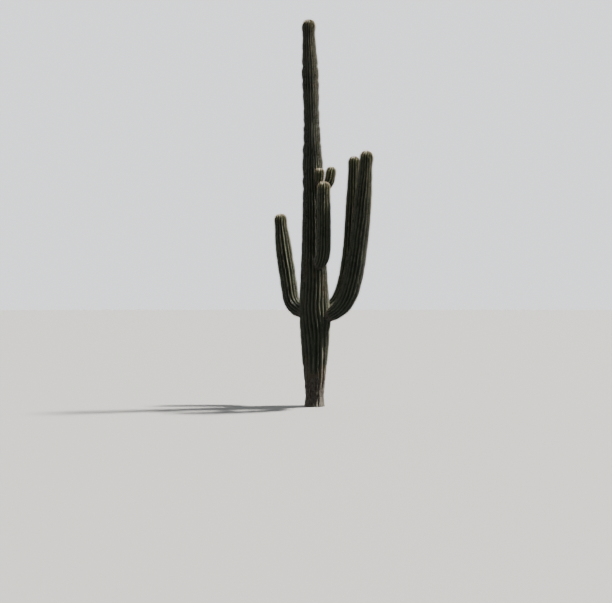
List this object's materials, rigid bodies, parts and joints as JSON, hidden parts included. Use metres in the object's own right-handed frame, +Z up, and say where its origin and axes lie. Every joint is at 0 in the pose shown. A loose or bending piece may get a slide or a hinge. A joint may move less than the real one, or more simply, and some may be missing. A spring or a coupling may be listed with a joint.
{
  "type": "saguaro cactus",
  "caption": "Tall ribbed desert cactus rooted in level ground, with a tapering trunk, arms that bend upright and small young shoots.",
  "frame": {"origin": "middle of the flat cut under the trunk, at ground level", "axes": "+Z up along the trunk, -Y towards the viewer, +X to the viewer's right"},
  "size_m": [1.6506, 1.1557, 6.566],
  "materials": {
    "trunk_skin": "waxy ribbed cactus skin, turning to grey-brown cork at the foot, with rows of pale spines",
    "arm_skin": "waxy ribbed cactus skin with rows of pale spines and felted tips"
  },
  "bodies": {
    "root": {"trunk": "trunk_skin", "left_arm_elbow": "arm_skin", "left_arm_upright": "arm_skin", "right_front_arm_elbow": "arm_skin", "right_front_arm_upright": "arm_skin", "right_rear_arm_elbow": "arm_skin", "right_rear_arm_upright": "arm_skin", "front_arm_elbow": "arm_skin", "front_arm_upright": "arm_skin", "round_shoot": "arm_skin", "club_shoot": "arm_skin"}
  },
  "joints": []
}
